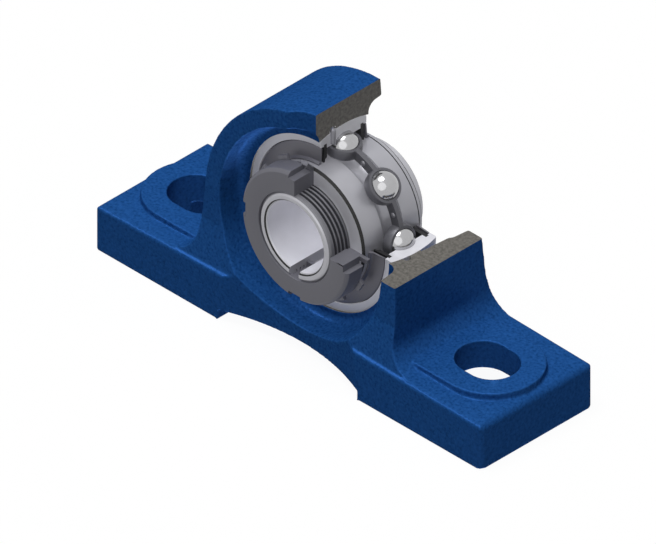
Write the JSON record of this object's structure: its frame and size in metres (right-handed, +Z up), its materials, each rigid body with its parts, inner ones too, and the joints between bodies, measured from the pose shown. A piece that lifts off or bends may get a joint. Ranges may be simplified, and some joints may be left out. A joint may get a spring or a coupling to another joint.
{
  "type": "pillow block bearing",
  "caption": "Quarter-cut pillow block: blue cast housing on two slotted feet, self-aligning sealed ball bearing, and a threaded adapter sleeve with lock nut and toothed washer.",
  "frame": {"origin": "middle of the base's underside, below the shaft axis", "axes": "+X along the two feet, +Y along the shaft from the lock nut to the plain end, +Z up from the base"},
  "size_m": [0.163, 0.048, 0.0828],
  "materials": {
    "cast_paint": "satin blue paint on cast iron",
    "bearing_steel": "ground steel",
    "sleeve_steel": "turned steel",
    "pin_steel": "bright steel",
    "seal_rubber": "black moulded rubber",
    "flinger_steel": "pressed grey steel sheet",
    "washer_steel": "stamped grey steel",
    "nut_steel": "dark turned steel",
    "cage_steel": "pressed steel sheet",
    "rivet_steel": "bright steel",
    "ball_chrome": "polished steel"
  },
  "bodies": {
    "housing": {"housing": "cast_paint"},
    "outer_insert": {"outer_ring": "bearing_steel", "locating_pin": "pin_steel", "seal_front": "seal_rubber", "seal_rear": "seal_rubber"},
    "rotor": {"inner_ring": "bearing_steel", "flinger_front": "flinger_steel", "flinger_rear": "flinger_steel", "adapter_sleeve": "sleeve_steel", "lock_washer": "washer_steel", "lock_nut": "nut_steel"},
    "cage": {"cage_front": "cage_steel", "cage_rear": "cage_steel", "cage_rivets": "rivet_steel"},
    "ball_1_body": {"ball_1": "ball_chrome"},
    "ball_2_body": {"ball_2": "ball_chrome"},
    "ball_3_body": {"ball_3": "ball_chrome"},
    "ball_4_body": {"ball_4": "ball_chrome"},
    "ball_5_body": {"ball_5": "ball_chrome"},
    "ball_6_body": {"ball_6": "ball_chrome"},
    "ball_7_body": {"ball_7": "ball_chrome"},
    "ball_8_body": {"ball_8": "ball_chrome"}
  },
  "joints": [
    {"name": "self_align", "type": "hinge", "parent": "housing", "child": "outer_insert", "pos_m": [0, 0, 0.0429], "axis": [0, 0, 1], "range_deg": [-2, 2]},
    {"name": "shaft_spin", "type": "hinge", "parent": "outer_insert", "child": "rotor", "pos_m": [0, 0, 0.0429], "axis": [0, 1, 0], "continuous": true},
    {"name": "cage_spin", "type": "hinge", "parent": "outer_insert", "child": "cage", "pos_m": [0, 0, 0.0429], "axis": [0, 1, 0], "continuous": true},
    {"name": "ball_1_spin", "type": "hinge", "parent": "cage", "child": "ball_1_body", "pos_m": [0, 0, 0.0662], "axis": [0, 1, 0], "continuous": true},
    {"name": "ball_2_spin", "type": "hinge", "parent": "cage", "child": "ball_2_body", "pos_m": [0.01648, 0, 0.05938], "axis": [0, 1, 0], "continuous": true},
    {"name": "ball_3_spin", "type": "hinge", "parent": "cage", "child": "ball_3_body", "pos_m": [0.0233, 0, 0.0429], "axis": [0, 1, 0], "continuous": true},
    {"name": "ball_4_spin", "type": "hinge", "parent": "cage", "child": "ball_4_body", "pos_m": [0.01648, 0, 0.02642], "axis": [0, 1, 0], "continuous": true},
    {"name": "ball_5_spin", "type": "hinge", "parent": "cage", "child": "ball_5_body", "pos_m": [0, 0, 0.0196], "axis": [0, 1, 0], "continuous": true},
    {"name": "ball_6_spin", "type": "hinge", "parent": "cage", "child": "ball_6_body", "pos_m": [-0.01648, 0, 0.02642], "axis": [0, 1, 0], "continuous": true},
    {"name": "ball_7_spin", "type": "hinge", "parent": "cage", "child": "ball_7_body", "pos_m": [-0.0233, 0, 0.0429], "axis": [0, 1, 0], "continuous": true},
    {"name": "ball_8_spin", "type": "hinge", "parent": "cage", "child": "ball_8_body", "pos_m": [-0.01648, 0, 0.05938], "axis": [0, 1, 0], "continuous": true}
  ],
  "couplings": [
    {"joint": "cage_spin", "follows": "shaft_spin", "ratio": 0.3978},
    {"joint": "ball_1_spin", "follows": "shaft_spin", "ratio": -2.344},
    {"joint": "ball_2_spin", "follows": "shaft_spin", "ratio": -2.344},
    {"joint": "ball_3_spin", "follows": "shaft_spin", "ratio": -2.344},
    {"joint": "ball_4_spin", "follows": "shaft_spin", "ratio": -2.344},
    {"joint": "ball_5_spin", "follows": "shaft_spin", "ratio": -2.344},
    {"joint": "ball_6_spin", "follows": "shaft_spin", "ratio": -2.344},
    {"joint": "ball_7_spin", "follows": "shaft_spin", "ratio": -2.344},
    {"joint": "ball_8_spin", "follows": "shaft_spin", "ratio": -2.344}
  ]
}
